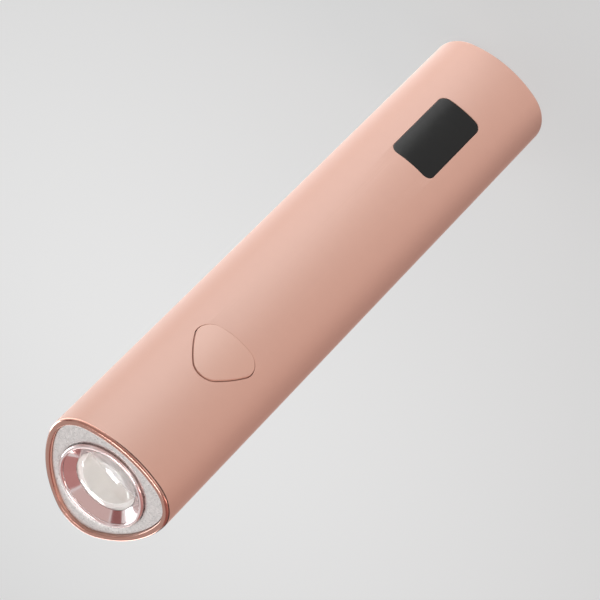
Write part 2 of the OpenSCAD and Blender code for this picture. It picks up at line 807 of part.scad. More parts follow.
module battery_tabs() {
  color("#CFCFCB") {
    bar([-tab_w / 2, tab_y, cell_z - tab_t], [tab_w / 2, cell_y + 3, cell_z]);
    bar([-tab_w / 2, tab_y, cell_end + nub_h], [tab_w / 2, cell_y + 2.5, cell_end + nub_h + tab_t]);
  }
}

// Three strips between the cell and the keel, one in each gap between the ribs round the cell
module battery_foam() {
  color("#2B2B2D") for (i = [0:2]) difference() {
    bar([-keel_w / 2 + loose, keel_y - 1, cell_ribs[i] + rib_t + loose],
      [keel_w / 2 - loose, keel_y, cell_ribs[i + 1] - loose]);
    translate([0, cell_y, cell_z]) cylinder(h = cell_l, r = cell_r);
  }
}

body_shell();
tail_cap();
front_plate();
reflector();
lens();
lens_gasket();
lens_spacer();
led_emitter();
led_board();
led_screws();
thermal_pad();
heat_sink();
led_wires();
button_cap();
switch_plunger();
switch_cover();
tact_switch();
display_window();
window_tape();
display_module();
display_pins();
chassis();
main_board();
board_screws();
usb_shell();
usb_tongue();
charger_chip();
controller_chip();
driver_chip();
driver_inductor();
capacitors();
resistors();
battery_socket();
battery_plug();
battery_wires();
battery_cell();
cell_insulator();
battery_tabs();
battery_foam();
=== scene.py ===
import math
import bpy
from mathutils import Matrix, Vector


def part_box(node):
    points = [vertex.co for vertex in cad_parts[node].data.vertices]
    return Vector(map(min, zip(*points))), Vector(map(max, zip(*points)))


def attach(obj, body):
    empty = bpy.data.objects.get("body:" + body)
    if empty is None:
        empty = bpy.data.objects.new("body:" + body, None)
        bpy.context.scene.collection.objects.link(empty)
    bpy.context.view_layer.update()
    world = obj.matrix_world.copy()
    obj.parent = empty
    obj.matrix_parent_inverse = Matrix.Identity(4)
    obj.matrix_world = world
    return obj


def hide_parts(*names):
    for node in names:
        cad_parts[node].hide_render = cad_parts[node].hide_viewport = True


bl_info = {
    "name": "Handheld nail lamp",
    "version": (1, 0, 0),
    "blender": (4, 5, 0),
    "location": "3D View > Sidebar > Nail lamp",
    "description": "Dresses the nail lamp's construction with its visible shells, optics and finishes",
    "category": "Add Mesh",
}

import bmesh
import bpy
from mathutils import Matrix, Quaternion, Vector

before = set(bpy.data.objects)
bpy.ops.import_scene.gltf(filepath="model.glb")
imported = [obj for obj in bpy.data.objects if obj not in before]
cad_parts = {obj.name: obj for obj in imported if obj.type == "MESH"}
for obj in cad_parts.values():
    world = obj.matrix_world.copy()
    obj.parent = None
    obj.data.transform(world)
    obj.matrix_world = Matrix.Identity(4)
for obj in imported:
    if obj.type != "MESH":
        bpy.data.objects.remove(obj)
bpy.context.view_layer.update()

MM = 0.001
# Vertices closer than this are one
MERGE = 0.0005 * MM
# Edges that bend more than this look sharp
SHARP = math.radians(32)

SHELL_LOW, SHELL_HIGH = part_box("body_shell")
PLATE_LOW, PLATE_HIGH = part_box("front_plate")
REFLECTOR_LOW, REFLECTOR_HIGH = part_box("reflector")
LENS_LOW, LENS_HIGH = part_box("lens")
WINDOW_LOW, WINDOW_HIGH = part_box("display_window")
WINDOW_Z = (WINDOW_LOW.z + WINDOW_HIGH.z) / 2
SWITCH_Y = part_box("button_cap")[1].y

# The stretch of the button side that is made again with its two openings
SIDE_LOW, SIDE_HIGH = 12 * MM, 118 * MM
# How far beyond a piece the edges of its opening are looked for
NEAR = 1 * MM

# Steps round a full turn
RING_STEPS = 128
MIRROR_STEPS = 160
STEM_STEPS = 40
# Steps along smaller arcs
OUTER_STEPS = 8
INNER_STEPS = 4
FINE_STEPS = 3
KEY_EDGE_STEPS = 7
COVE_STEPS = 8
BEAD_STEPS = 16
DOME_STEPS = 20


def srgb(code):
    """An sRGB hex value as linear red, green, blue and alpha."""
    parts = [int(code[i:i + 2], 16) / 255 for i in (1, 3, 5)]
    linear = [c / 12.92 if c <= 0.04045 else ((c + 0.055) / 1.055) ** 2.4 for c in parts]
    return (*linear, 1.0)


def compass(way):
    """Unit vector at an angle from +X."""
    return Vector((math.cos(way), math.sin(way)))


# Outlines of the pieces, drawn on a flat plane

class Outline:
    """Closed line of round arcs. Each arc is its centre, radius, start, angle and number of steps."""

    def draw(self, bm, grow=0.0):
        """Swings a vertex round each arc and joins the arcs. Returns the loop's edges, on z = 0."""
        old_edges, old_verts = set(bm.edges), set(bm.verts)
        first = last = None
        for centre, radius, start, arc_angle, steps in self.arcs():
            point = centre + (radius + grow) * compass(start)
            vert = bm.verts.new((point.x, point.y, 0))
            if last:
                bm.edges.new((last, vert))
            first = first or vert
            made = bmesh.ops.spin(bm, geom=[vert], cent=(centre.x, centre.y, 0), axis=(0, 0, 1),
                                  angle=arc_angle, steps=steps)
            last = [g for g in made["geom_last"] if isinstance(g, bmesh.types.BMVert)][0]
        bm.edges.new((last, first))
        fresh = [v for v in bm.verts if v not in old_verts]
        bmesh.ops.remove_doubles(bm, verts=fresh, dist=MERGE)
        return [e for e in bm.edges if e not in old_edges]


class RoundedTriangle(Outline):
    """Three crowned sides and three round corners. One side faces -Y and one corner points along +Y."""

    def __init__(self, width, corner_r, turn, side_steps, corner_steps):
        half = width / 2 - corner_r
        span = half / math.sin(turn)
        self.corner_r = corner_r
        self.side_r = corner_r + span
        self.corner_at = half / math.cos(math.pi / 6)
        self.side_at = span * math.cos(turn) - self.corner_at / 2
        self.turn = turn
        self.side_steps = side_steps
        self.corner_steps = corner_steps

    def arcs(self):
        bend = 2 * math.pi / 3 - 2 * self.turn
        for k in range(3):
            side_way = 2 * math.pi * k / 3 - math.pi / 2
            corner_way = side_way + math.pi / 3
            yield (-self.side_at * compass(side_way), self.side_r, side_way - self.turn,
                   2 * self.turn, self.side_steps)
            yield (self.corner_at * compass(corner_way), self.corner_r, corner_way - bend / 2,
                   bend, self.corner_steps)

    def outward(self, point):
        """Unit direction square to the outline at a point near it."""
        def distance(arc):
            centre, radius, start, arc_angle, _ = arc
            toward = (point - centre).normalized().dot(compass(start + arc_angle / 2))
            past_end = max(0.0, math.acos(max(-1.0, min(1.0, toward))) - arc_angle / 2)
            return radius * past_end + abs((point - centre).length - radius)
        centre = min(self.arcs(), key=distance)[0]
        return (point - centre).normalized()

    def level(self, inset, x):
        """Where the side that faces -Y, or a surface inset from it, lies at x from its middle."""
        return self.side_at - math.sqrt((self.side_r - inset) ** 2 - x * x)


class RoundedRectangle(Outline):
    """Rectangle with round corners."""

    def __init__(self, width, height, radius, steps):
        self.core = Vector((width / 2 - radius, height / 2 - radius))
        self.radius = radius
        self.steps = steps

    def arcs(self):
        for k, (x, y) in enumerate(((1, 1), (-1, 1), (-1, -1), (1, -1))):
            centre = Vector((x * self.core.x, y * self.core.y))
            yield centre, self.radius, k * math.pi / 2, math.pi / 2, self.steps

    def outward(self, point):
        inner = Vector([max(-c, min(c, p)) for c, p in zip(self.core, point)])
        return (point - inner).normalized()


class Circle(Outline):
    """Two arcs of half a turn."""

    def __init__(self, radius, steps):
        self.radius = radius
        self.steps = steps

    def arcs(self):
        for start in (0.0, math.pi):
            yield Vector((0, 0)), self.radius, start, math.pi, self.steps // 2

    def outward(self, point):
        return point.normalized()


# Sizes and colours that a user would change

def length(name, description, default):
    return bpy.props.FloatProperty(name=name, description=description, default=default, min=0.0,
                                   precision=5, unit="LENGTH", subtype="DISTANCE")


def angle(name, description, default):
    return bpy.props.FloatProperty(name=name, description=description, default=math.radians(default),
                                   unit="ROTATION", subtype="ANGLE")


def count(name, description, default):
    return bpy.props.IntProperty(name=name, description=description, default=default, min=2)


def colour(name, description, code):
    return bpy.props.FloatVectorProperty(name=name, description=description, size=4, subtype="COLOR",
                                         default=srgb(code), min=0.0, max=1.0)


class LampSizes(bpy.types.PropertyGroup):
    """Sizes of the visible pieces, in metres."""
    body_w: length("Body width", "Width across the two corners beside the button",
                   SHELL_HIGH.x - SHELL_LOW.x)
    corner_r: length("Corner radius", "Radius of the body's three long corners", 7.6 * MM)
    side_turn: angle("Side turn", "Half the angle that each crowned side turns through", 22.2)
    wall: length("Wall", "Thickness of the moulded wall", 1.8 * MM)
    rim: length("Rim", "Width of the rim round the front and tail openings", 1.2 * MM)
    front_round: length("Front rounding", "Rounding of the rim's outer edge", 0.6 * MM)
    inner_round: length("Inner rounding", "Rounding of the rim's inner edge", 0.2 * MM)
    tail_round: length("Tail rounding", "Rounding of the tail's outer edge", 0.9 * MM)
    tail_seat: length("Tail seat", "Depth of the seat for the tail cap", 1.6 * MM)
    lip: length("Lip", "Rounding of the moulded edge round the button", 0.05 * MM)
    side_steps: count("Side steps", "Facets across one crowned side", 96)
    corner_steps: count("Corner steps", "Facets round one long corner", 28)

    key_w: length("Button width", "Width of the button", 12.4 * MM)
    key_corner_r: length("Button corners", "Radius of the button's corners", 3.1 * MM)
    key_turn: angle("Button side turn", "Half the angle that each side of the button turns through", 8.2)
    key_z: length("Button place", "Height of the button's middle", 105.6 * MM)
    key_fit: length("Button gap", "Gap round the button", 0.16 * MM)
    key_proud: length("Button height", "How far the button stands above the shell", 0.25 * MM)
    key_round: length("Button edge", "Rounding of the button's edge", 0.14 * MM)
    key_flange_w: length("Flange width", "Width of the flange that keeps the button in", 0.8 * MM)
    key_flange_at: length("Flange depth", "Depth of the flange's face under the shell", 1.9 * MM)
    key_flange_t: length("Flange thickness", "Thickness of the flange", 0.8 * MM)
    stem_r: length("Stem radius", "Radius of the stem that reaches the switch", 1.5 * MM)
    key_steps: count("Button steps", "Facets of each side and each corner of the button", 20)

    window_r: length("Window corners", "Corner radius of the display window", 1.7 * MM)
    window_round: length("Window edge", "Rounding of the display window's edge", 0.12 * MM)
    window_fit: length("Window gap", "Gap round the display window", 0.06 * MM)
    window_inset: length("Window depth", "How far the window lies below the shell", 0.02 * MM)
    window_t: length("Window thickness", "Thickness of the display window", 0.9 * MM)
    pocket: length("Pocket depth", "Depth of the window's pocket", 1.1 * MM)
    ledge: length("Ledge", "Width of the ledge behind the window", 0.9 * MM)
    window_steps: count("Window steps", "Facets round one corner of the display window", 10)

    optic_y: length("Lens place", "Distance of the lens axis from the body's middle", 0.6 * MM)
    plate_gap: length("Plate gap", "Gap round the front plate", 0.1 * MM)
    plate_edge: length("Plate edge", "Chamfer on the plate's outer edge", 0.1 * MM)
    cove_w: length("Cove width", "Width of the plate's cove outside the bead", 1.1 * MM)
    cove_d: length("Cove depth", "Depth of the plate's cove", 0.25 * MM)
    bead_w: length("Bead width", "Width of the bead round the mouth", 0.85 * MM)
    cone_w: length("Cone width", "Width of the cone between the bead and the lens", 1.85 * MM)
    cone_h: length("Cone depth", "Depth of the cone below the plate", 1.4 * MM)
    shelf: length("Shelf", "Thickness of the shelf that holds the lens", 0.5 * MM)
    sleeve_under: length("Sleeve reach", "How far the sleeve reaches out under the bead", 0.3 * MM)
    sleeve_wall: length("Sleeve wall", "Wall of the sleeve", 0.95 * MM)
    sleeve_fit: length("Sleeve gap", "Gap between the sleeve and the plate", 0.05 * MM)
    lens_play: length("Lens play", "Gap round the lens", 0.1 * MM)

    def body(self):
        return RoundedTriangle(self.body_w, self.corner_r, self.side_turn, self.side_steps,
                               self.corner_steps)

    def key(self):
        return RoundedTriangle(self.key_w, self.key_corner_r, self.key_turn, self.key_steps,
                               self.key_steps)

    def window(self):
        return RoundedRectangle(WINDOW_HIGH.x - WINDOW_LOW.x, WINDOW_HIGH.z - WINDOW_LOW.z,
                                self.window_r, self.window_steps)

    def mouth_r(self):
        return REFLECTOR_HIGH.x - self.bead_w

    def sleeve_r(self):
        return self.mouth_r() + self.sleeve_under

    def sleeve_in(self):
        return self.sleeve_r() - self.sleeve_wall


class LampColours(bpy.types.PropertyGroup):
    """Colours of the visible finishes."""
    shell: colour("Shell", "Blush pink of the soft-touch shell", "#D0A08F")
    button: colour("Button", "Pink of the button", "#D5A796")
    foil: colour("Edge foil", "Rose foil on the rim round the nose", "#B4887B")
    plate: colour("Plate", "Satin silver of the front plate", "#D2CDCB")
    # The chrome's pale rose is partly its own tint and partly a painted reflection of the pink shell
    # round it
    chrome: colour("Chrome", "Rose tint of the bright reflector", "#E2D0CF")
    window: colour("Window", "Near black of the smoked window", "#292929")
    # The floor's grey is painted lighter round the lamp and darker further out: a painted pool of light
    floor: colour("Floor", "Pale grey of the floor round the lamp", "#E6E6E6")
    floor_painted_dim_grey: colour("Floor further out", "Grey of the floor away from the lamp", "#CECECE")


# Modelling helpers

def points_of(edges):
    return {v for e in edges for v in e.verts}


def middle_of(edge):
    return (edge.verts[0].co + edge.verts[1].co) / 2


def sweep(bm, edges, steps, move):
    """Extrudes a loop of edges once for each step, and puts new vertices where move(co, step) says."""
    for step in steps:
        made = bmesh.ops.extrude_edge_only(bm, edges=edges)["geom"]
        fresh = {g for g in made if isinstance(g, bmesh.types.BMVert)}
        edges = [g for g in made if isinstance(g, bmesh.types.BMEdge) and set(g.verts) <= fresh]
        for vert in fresh:
            vert.co = move(vert.co, step)
    return edges


def evenly(end, steps):
    """Values from 0 to the end with equal steps between them."""
    return [end * i / steps for i in range(steps + 1)]


def quarter(x, z, radius, start, end, steps):
    """Points of a round on a profile, between two angles in degrees."""
    angles = [math.radians(start + a) for a in evenly(end - start, steps)]
    return [(x + radius * math.cos(a), z + radius * math.sin(a)) for a in angles]


def steps_between(points):
    """Each step along a profile, as the change of its first value and the new second value."""
    return [(b[0] - a[0], b[1]) for a, b in zip(points, points[1:])]


def upright_move(outline, centre=(0, 0)):
    """Steps on a wall that stands along Z: how much further out, and at which height."""
    centre = Vector(centre)

    def move(co, step):
        flat = co.xy + step[0] * outline.outward(co.xy - centre)
        return (flat.x, flat.y, step[1])
    return move


def side_move(outline, middle_z, body):
    """Steps on a wall square to the button side: how much wider, and how deep under the shell."""
    def move(co, step):
        local = Vector((co.x, co.z - middle_z))
        local += step[0] * outline.outward(local)
        return (local.x, body.level(step[1], local.x), local.y + middle_z)
    return move


def draw_on_side(bm, outline, grow, depth, middle_z, body):
    """Draws an outline on the button side, or on a surface at a depth under it."""
    edges = outline.draw(bm, grow)
    for vert in points_of(edges):
        x, z = vert.co.xy
        vert.co = (x, body.level(depth, x), z + middle_z)
    return edges


def draw_flat(bm, outline, grow, place):
    """Draws an outline on a level plane, about the place given."""
    edges = outline.draw(bm, grow)
    bmesh.ops.translate(bm, vec=place, verts=list(points_of(edges)))
    return edges


def fill_side(bm, edges, depth, body):
    """Fills the loops with faces that follow the crowned side, with a line of vertices at each facet."""
    made = bmesh.ops.triangle_fill(bm, edges=edges, use_beauty=True, normal=(0, -1, 0))["geom"]
    faces = [g for g in made if isinstance(g, bmesh.types.BMFace)]
    geom = faces + list({e for f in faces for e in f.edges}) + list({v for f in faces for v in f.verts})
    reach = max(v.co.x for v in points_of(edges))
    for i in range(1, body.side_steps):
        x = (body.side_r - depth) * math.sin(body.turn * (2 * i / body.side_steps - 1))
        if abs(x) < reach:
            geom = bmesh.ops.bisect_plane(bm, geom=geom, dist=MERGE, plane_co=(x, 0, 0),
                                          plane_no=(1, 0, 0))["geom"]
    for vert in [g for g in geom if isinstance(g, bmesh.types.BMVert)]:
        vert.co.y = body.level(depth, vert.co.x)


def fill_flat(bm, edges, normal):
    """Fills flat loops, and leaves the holes between them open."""
    bmesh.ops.triangle_fill(bm, edges=edges, use_beauty=True, normal=normal)


def open_edges(bm, low=-math.inf, high=math.inf):
    """Edges with a face on one side only, between two heights."""
    return [e for e in bm.edges if len(e.link_faces) == 1 and low < middle_of(e).z < high]


def revolve(profile, place, steps):
    """A full turn of a profile of (radius, height) points about an upright axis through the place."""
    bm = bmesh.new()
    verts = [bm.verts.new((place[0] + r, place[1], z)) for r, z in profile]
    edges = [bm.edges.new(pair) for pair in zip(verts, verts[1:])]
    bmesh.ops.spin(bm, geom=verts + edges, cent=place, axis=(0, 0, 1), angle=2 * math.pi, steps=steps,
                   use_merge=True)
    return bm


def finish_piece(bm, name, body, material, replaced):
    """Makes the mesh an object that rides on its body and takes the place of a CAD node."""
    bmesh.ops.remove_doubles(bm, verts=bm.verts, dist=MERGE)
    bmesh.ops.recalc_face_normals(bm, faces=bm.faces)
    mesh = bpy.data.meshes.new(name)
    bm.to_mesh(mesh)
    bm.free()
    mesh.shade_smooth()
    mesh.set_sharp_from_angle(angle=SHARP)
    mesh.materials.append(material)
    piece = bpy.data.objects.new(name, mesh)
    bpy.context.scene.collection.objects.link(piece)
    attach(piece, body)
    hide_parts(replaced)
    return piece


# Materials

# Places of a Mix node's colours among its inputs, and of the mixed colour among its outputs
COLOUR_A, COLOUR_B, MIXED = 6, 7, 2


def node(material, kind, inputs=None, **settings):
    """Adds a node with its settings, and gives its inputs values or links from other nodes' sockets."""
    made = material.node_tree.nodes.new(kind)
    for name, value in settings.items():
        setattr(made, name, value)
    for key, value in (inputs or {}).items():
        if isinstance(value, bpy.types.NodeSocket):
            material.node_tree.links.new(value, made.inputs[key])
        else:
            made.inputs[key].default_value = value
    return made


def blank_material(name):
    material = bpy.data.materials.new(name)
    material.use_nodes = True
    material.node_tree.nodes.clear()
    return material


def grained(name, dark, light, grain, bump, rough, shader):
    """A surface whose colour, gloss and relief vary with a grain of the given size in metres."""
    material = blank_material(name)
    where = node(material, "ShaderNodeTexCoord").outputs["Object"]
    fine = node(material, "ShaderNodeTexNoise", {"Vector": where, "Scale": 1 / grain, "Detail": 3.0})
    broad = node(material, "ShaderNodeTexNoise", {"Vector": where, "Scale": 0.05 / grain, "Detail": 2.0})
    share = node(material, "ShaderNodeMix", {"Factor": 0.5, "A": fine.outputs["Fac"],
                                             "B": broad.outputs["Fac"]}, data_type="FLOAT")
    tone = node(material, "ShaderNodeMix", {"Factor": share.outputs["Result"], COLOUR_A: dark,
                                            COLOUR_B: light}, data_type="RGBA")
    gloss = node(material, "ShaderNodeMapRange", {"Value": fine.outputs["Fac"],
                                                  "From Min": 0.3, "From Max": 0.7,
                                                  "To Min": rough[0], "To Max": rough[1]})
    relief = node(material, "ShaderNodeBump", {"Height": fine.outputs["Fac"], "Distance": bump})
    surface = node(material, "ShaderNodeBsdfPrincipled", {
        "Base Color": tone.outputs[MIXED], "Roughness": gloss.outputs["Result"],
        "Normal": relief.outputs["Normal"], **shader})
    node(material, "ShaderNodeOutputMaterial", {"Surface": surface.outputs["BSDF"]})
    return material


def shades(colour_value, spread):
    """A colour a little darker and a little lighter than the one given."""
    return tuple((*[c * (1 + s) for c in colour_value[:3]], 1.0) for s in (-spread, spread))


# Operators, one for each piece or group of like pieces

class NAILLAMP_OT_shell(bpy.types.Operator):
    """Makes the one-piece moulded shell with its rims, button opening and window pocket"""
    bl_idname = "naillamp.shell"
    bl_label = "Shell"

    def execute(self, context):
        lamp, colours = context.scene.lamp_sizes, context.scene.lamp_colours
        body, key, window = lamp.body(), lamp.key(), lamp.window()
        top, wall, rim = SHELL_HIGH.z, lamp.wall, lamp.rim
        tail, front, inner = lamp.tail_round, lamp.front_round, lamp.inner_round

        # The tube. A point of its profile says how far inside the outline it lies, and its height
        profile = quarter(tail, tail, tail, 270, 180, OUTER_STEPS)
        profile += [(0, SIDE_LOW), (0, SIDE_HIGH)]
        profile += quarter(front, top - front, front, 180, 90, OUTER_STEPS)
        profile += quarter(rim - inner, top - inner, inner, 90, 0, INNER_STEPS)
        profile += [(rim, PLATE_LOW.z), (wall, PLATE_LOW.z), (wall, SIDE_HIGH), (wall, SIDE_LOW),
                    (wall, lamp.tail_seat), (rim, lamp.tail_seat), (rim, 0), (tail, 0)]
        bm = bmesh.new()
        inwards = [(-x, z) for x, z in profile]
        sweep(bm, body.draw(bm, -tail), steps_between(inwards), upright_move(body))
        bmesh.ops.remove_doubles(bm, verts=bm.verts, dist=MERGE)

        # A stretch of the button side comes out, so that it can be made again with its openings
        def on_button_side(face):
            middle = face.calc_center_median()
            turn = abs(math.atan2(middle.x, body.side_at - middle.y))
            return SIDE_LOW < middle.z < SIDE_HIGH and turn < body.turn
        bmesh.ops.delete(bm, geom=[f for f in bm.faces if on_button_side(f)], context="FACES")

        def outer_edges(low=-math.inf, high=math.inf, reach=math.inf):
            """Open edges on the outer surface, between two heights and near the side's middle."""
            def depth(edge):
                return body.side_r - (middle_of(edge).xy - Vector((0, body.side_at))).length
            return [e for e in open_edges(bm, low, high)
                    if depth(e) < wall / 2 and abs(e.verts[0].co.x) < reach]

        lip, half_lip = lamp.lip, lamp.lip / 2
        edges = outer_edges()
        edges += draw_on_side(bm, key, lamp.key_fit + lip, 0, lamp.key_z, body)
        edges += draw_on_side(bm, window, lamp.window_fit + half_lip, 0, WINDOW_Z, body)
        fill_side(bm, edges, 0, body)

        # The wall of the button's opening, then the window's pocket with its ledge, then the inner skin
        reach = key.corner_at + key.corner_r + NEAR
        steps = steps_between(quarter(0, lip, lip, 270, 180, INNER_STEPS)) + [(0, wall)]
        sweep(bm, outer_edges(lamp.key_z - reach, lamp.key_z + reach, reach), steps,
              side_move(key, lamp.key_z, body))
        steps = steps_between(quarter(0, half_lip, half_lip, 270, 180, FINE_STEPS))
        steps += [(0, lamp.pocket), (-lamp.ledge - lamp.window_fit, lamp.pocket), (0, wall)]
        sweep(bm, outer_edges(WINDOW_LOW.z - NEAR, WINDOW_HIGH.z + NEAR, WINDOW_HIGH.x + NEAR), steps,
              side_move(window, WINDOW_Z, body))
        fill_side(bm, open_edges(bm), wall, body)

        # Soft-touch lacquer over moulded ABS: a dry, even matt with a faint sheen at glancing angles
        material = grained("soft_touch_lacquer_on_ABS", *shades(colours.shell, 0.03),
                           grain=0.12 * MM, bump=0.004 * MM, rough=(0.52, 0.6),
                           shader={"Sheen Weight": 0.16, "Sheen Roughness": 0.5,
                                   "Specular IOR Level": 0.6})
        piece = finish_piece(bm, "moulded_shell", "lamp", material, "body_shell")

        # Hot-stamped metal foil on the rim and its outer round: a soft mirror in deep rose
        foil = grained("rose_hot_foil", *shades(colours.foil, 0.03), grain=0.3 * MM, bump=0.001 * MM,
                       rough=(0.14, 0.2), shader={"Metallic": 1.0})
        piece.data.materials.append(foil)
        for face in piece.data.polygons:
            face.material_index = int(face.center.z > top - front + MERGE)
        return {"FINISHED"}


class NAILLAMP_OT_button(bpy.types.Operator):
    """Makes the rounded three-sided press button with its hidden flange and stem"""
    bl_idname = "naillamp.button"
    bl_label = "Button"

    def execute(self, context):
        lamp, colours = context.scene.lamp_sizes, context.scene.lamp_colours
        body, key = lamp.body(), lamp.key()
        bm = bmesh.new()
        edge, top = lamp.key_round, -lamp.key_proud
        fill_side(bm, draw_on_side(bm, key, -edge, top, lamp.key_z, body), top, body)
        below = lamp.key_flange_at + lamp.key_flange_t
        steps = steps_between(quarter(-edge, top + edge, edge, 270, 360, KEY_EDGE_STEPS))
        steps += [(0, lamp.key_flange_at), (lamp.key_flange_w, lamp.key_flange_at), (0, below)]
        sweep(bm, open_edges(bm), steps, side_move(key, lamp.key_z, body))
        stem = draw_on_side(bm, Circle(lamp.stem_r, STEM_STEPS), 0, below, lamp.key_z, body)
        fill_side(bm, open_edges(bm) + stem, below, body)
        end = sweep(bm, open_edges(bm), [SWITCH_Y], lambda co, y: (co.x, y, co.z))
        fill_flat(bm, end, (0, 1, 0))

        # Moulded ABS with a fine spark-eroded texture: a little smoother and lighter than the shell
        material = grained("fine_textured_ABS", *shades(colours.button, 0.03), grain=0.1 * MM,
                           bump=0.003 * MM, rough=(0.46, 0.54), shader={"Specular IOR Level": 0.45})
        finish_piece(bm, "press_button", "button", material, "button_cap")
        return {"FINISHED"}


class NAILLAMP_OT_window(bpy.types.Operator):
    """Makes the smoked display window with its softly rounded edge"""
    bl_idname = "naillamp.window"
    bl_label = "Display window"

    def execute(self, context):
        lamp, colours = context.scene.lamp_sizes, context.scene.lamp_colours
        body, window = lamp.body(), lamp.window()
        bm = bmesh.new()
        edge, top = lamp.window_round, lamp.window_inset
        fill_side(bm, draw_on_side(bm, window, -edge, top, WINDOW_Z, body), top, body)
        steps = steps_between(quarter(-edge, top + edge, edge, 270, 360, FINE_STEPS))
        steps += [(0, lamp.window_t)]
        sweep(bm, open_edges(bm), steps, side_move(window, WINDOW_Z, body))
        fill_side(bm, open_edges(bm), lamp.window_t, body)

        # Smoked polycarbonate, hard coated: nearly black with a clean, slightly soft gloss
        material = grained("smoked_polycarbonate", *shades(colours.window, 0.05), grain=1.5 * MM,
                           bump=0.0004 * MM, rough=(0.12, 0.15), shader={"Specular IOR Level": 0.38})
        finish_piece(bm, "smoked_window", "lamp", material, "display_window")
        return {"FINISHED"}


class NAILLAMP_OT_plate(bpy.types.Operator):
    """Makes the satin plate inside the front rim, with a shallow cove round the bead"""
    bl_idname = "naillamp.plate"
    bl_label = "Front plate"

    def execute(self, context):
        lamp, colours = context.scene.lamp_sizes, context.scene.lamp_colours
        body, axis = lamp.body(), Vector((0, lamp.optic_y))
        hole_r = lamp.sleeve_r() + lamp.sleeve_fit
        cove_r = REFLECTOR_HIGH.x + lamp.cove_w
        top, low, edge = PLATE_HIGH.z, PLATE_LOW.z, lamp.plate_edge
        bm = bmesh.new()
        outer = draw_flat(bm, body, -lamp.rim - lamp.plate_gap - edge, (0, 0, top))
        ring = draw_flat(bm, Circle(cove_r, RING_STEPS), 0, (*axis, top))
        fill_flat(bm, outer + ring, (0, 0, 1))

        # The cove and the hole, then the outer edge, then the back
        slope = [(cove_r - x, top - lamp.cove_d * math.sin(x / (cove_r - hole_r) * math.pi / 2) ** 2)
                 for x in evenly(cove_r - hole_r, COVE_STEPS)]
        ring = [e for e in open_edges(bm) if (e.verts[0].co.xy - axis).length < cove_r + MERGE]
        end = sweep(bm, ring, steps_between(slope) + [(0, low)],
                    upright_move(Circle(hole_r, RING_STEPS), axis))
        below = sweep(bm, open_edges(bm, low=top - MERGE), [(edge, top - edge), (0, low)],
                      upright_move(body))
        fill_flat(bm, end + below, (0, 0, -1))

        # Vacuum-metallised plastic with a satin lacquer: bright flakes in a soft grey. Real flakes
        # are about 0.05 mm, and are drawn six times coarser so that the picture can show them
        flake = 0.3 * MM
        material = blank_material("satin_metallised_ABS")
        where = node(material, "ShaderNodeTexCoord").outputs["Object"]
        flakes = node(material, "ShaderNodeTexVoronoi", {"Vector": where, "Scale": 1 / flake})
        spread = node(material, "ShaderNodeSeparateColor", {"Color": flakes.outputs["Color"]})
        dark, light = shades(colours.plate, 0.1)
        tone = node(material, "ShaderNodeMix", {"Factor": spread.outputs[0], COLOUR_A: dark,
                                                COLOUR_B: light}, data_type="RGBA")
        gloss = node(material, "ShaderNodeMapRange", {"Value": spread.outputs[1],
                                                      "To Min": 0.26, "To Max": 0.42})
        relief = node(material, "ShaderNodeBump", {"Height": spread.outputs[2], "Distance": 0.004 * MM})
        surface = node(material, "ShaderNodeBsdfPrincipled", {
            "Base Color": tone.outputs[MIXED], "Roughness": gloss.outputs["Result"],
            "Normal": relief.outputs["Normal"], "Metallic": 1.0})
        node(material, "ShaderNodeOutputMaterial", {"Surface": surface.outputs["BSDF"]})
        finish_piece(bm, "satin_plate", "lamp", material, "front_plate")
        return {"FINISHED"}


class NAILLAMP_OT_reflector(bpy.types.Operator):
    """Makes the bright bead, the cone and the sleeve in one turned piece"""
    bl_idname = "naillamp.reflector"
    bl_label = "Reflector"

    def execute(self, context):
        lamp, colours = context.scene.lamp_sizes, context.scene.lamp_colours
        top = PLATE_HIGH.z
        bead_h = REFLECTOR_HIGH.z - top
        mouth_r, sleeve_r, sleeve_in = lamp.mouth_r(), lamp.sleeve_r(), lamp.sleeve_in()
        cone_r = mouth_r - lamp.cone_w + lamp.lens_play
        shelf_z = top - lamp.cone_h - lamp.shelf
        bead = [(mouth_r + lamp.bead_w / 2 * (1 + math.cos(a)), top + bead_h * math.sin(a))
                for a in evenly(math.pi, BEAD_STEPS)]
        profile = [(sleeve_r, REFLECTOR_LOW.z), (sleeve_r, top)] + bead
        profile += [(cone_r, top - lamp.cone_h), (cone_r, shelf_z), (sleeve_in, shelf_z),
                    (sleeve_in, REFLECTOR_LOW.z), (sleeve_r, REFLECTOR_LOW.z)]
        bm = revolve(profile, (0, lamp.optic_y, 0), MIRROR_STEPS)

        # Bright vacuum metallising on polycarbonate: a mirror, a little softened, whose pale rose is
        # partly its own tint and partly a painted reflection of the pink shell round it
        material = grained("chrome_with_painted_pink_reflection", *shades(colours.chrome, 0.02), grain=0.6 * MM,
                           bump=0.0006 * MM, rough=(0.1, 0.14), shader={"Metallic": 1.0})
        finish_piece(bm, "chrome_reflector", "lamp", material, "reflector")
        return {"FINISHED"}


